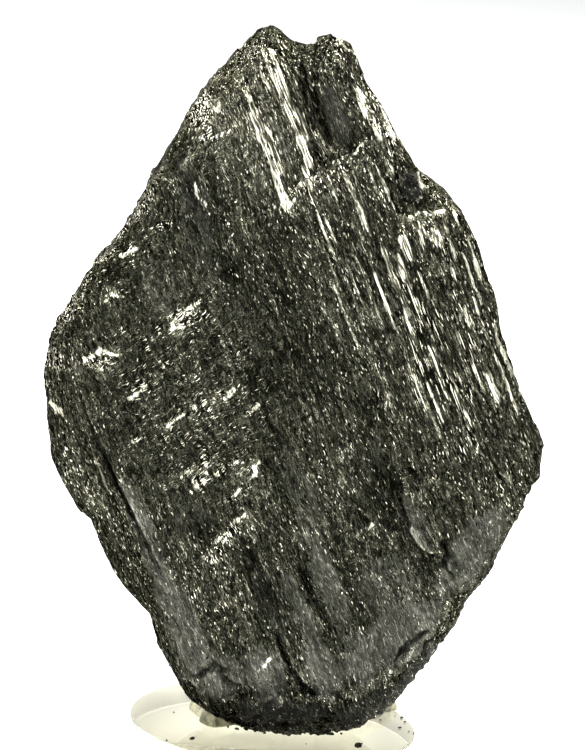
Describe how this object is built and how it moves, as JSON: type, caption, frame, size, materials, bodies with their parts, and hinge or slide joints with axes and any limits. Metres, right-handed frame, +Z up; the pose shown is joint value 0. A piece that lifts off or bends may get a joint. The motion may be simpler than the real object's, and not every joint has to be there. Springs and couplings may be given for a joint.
{
  "type": "graphite specimen on a round display base",
  "caption": "Thick lozenge of fibrous vein graphite standing upright in mineral putty on a round clear acrylic display base.",
  "frame": {"origin": "centre of the round acrylic base's underside", "axes": "+Z up along the specimen's height, +X to the right across its width, +Y through its thickness, so its front looks along -Y"},
  "size_m": [0.0657, 0.0382, 0.106],
  "materials": {
    "graphite": "satin",
    "putty": "satin",
    "acrylic": "polished"
  },
  "bodies": {
    "root": {"graphite": "graphite", "mounting_putty": "putty", "acrylic_base": "acrylic"}
  },
  "joints": []
}
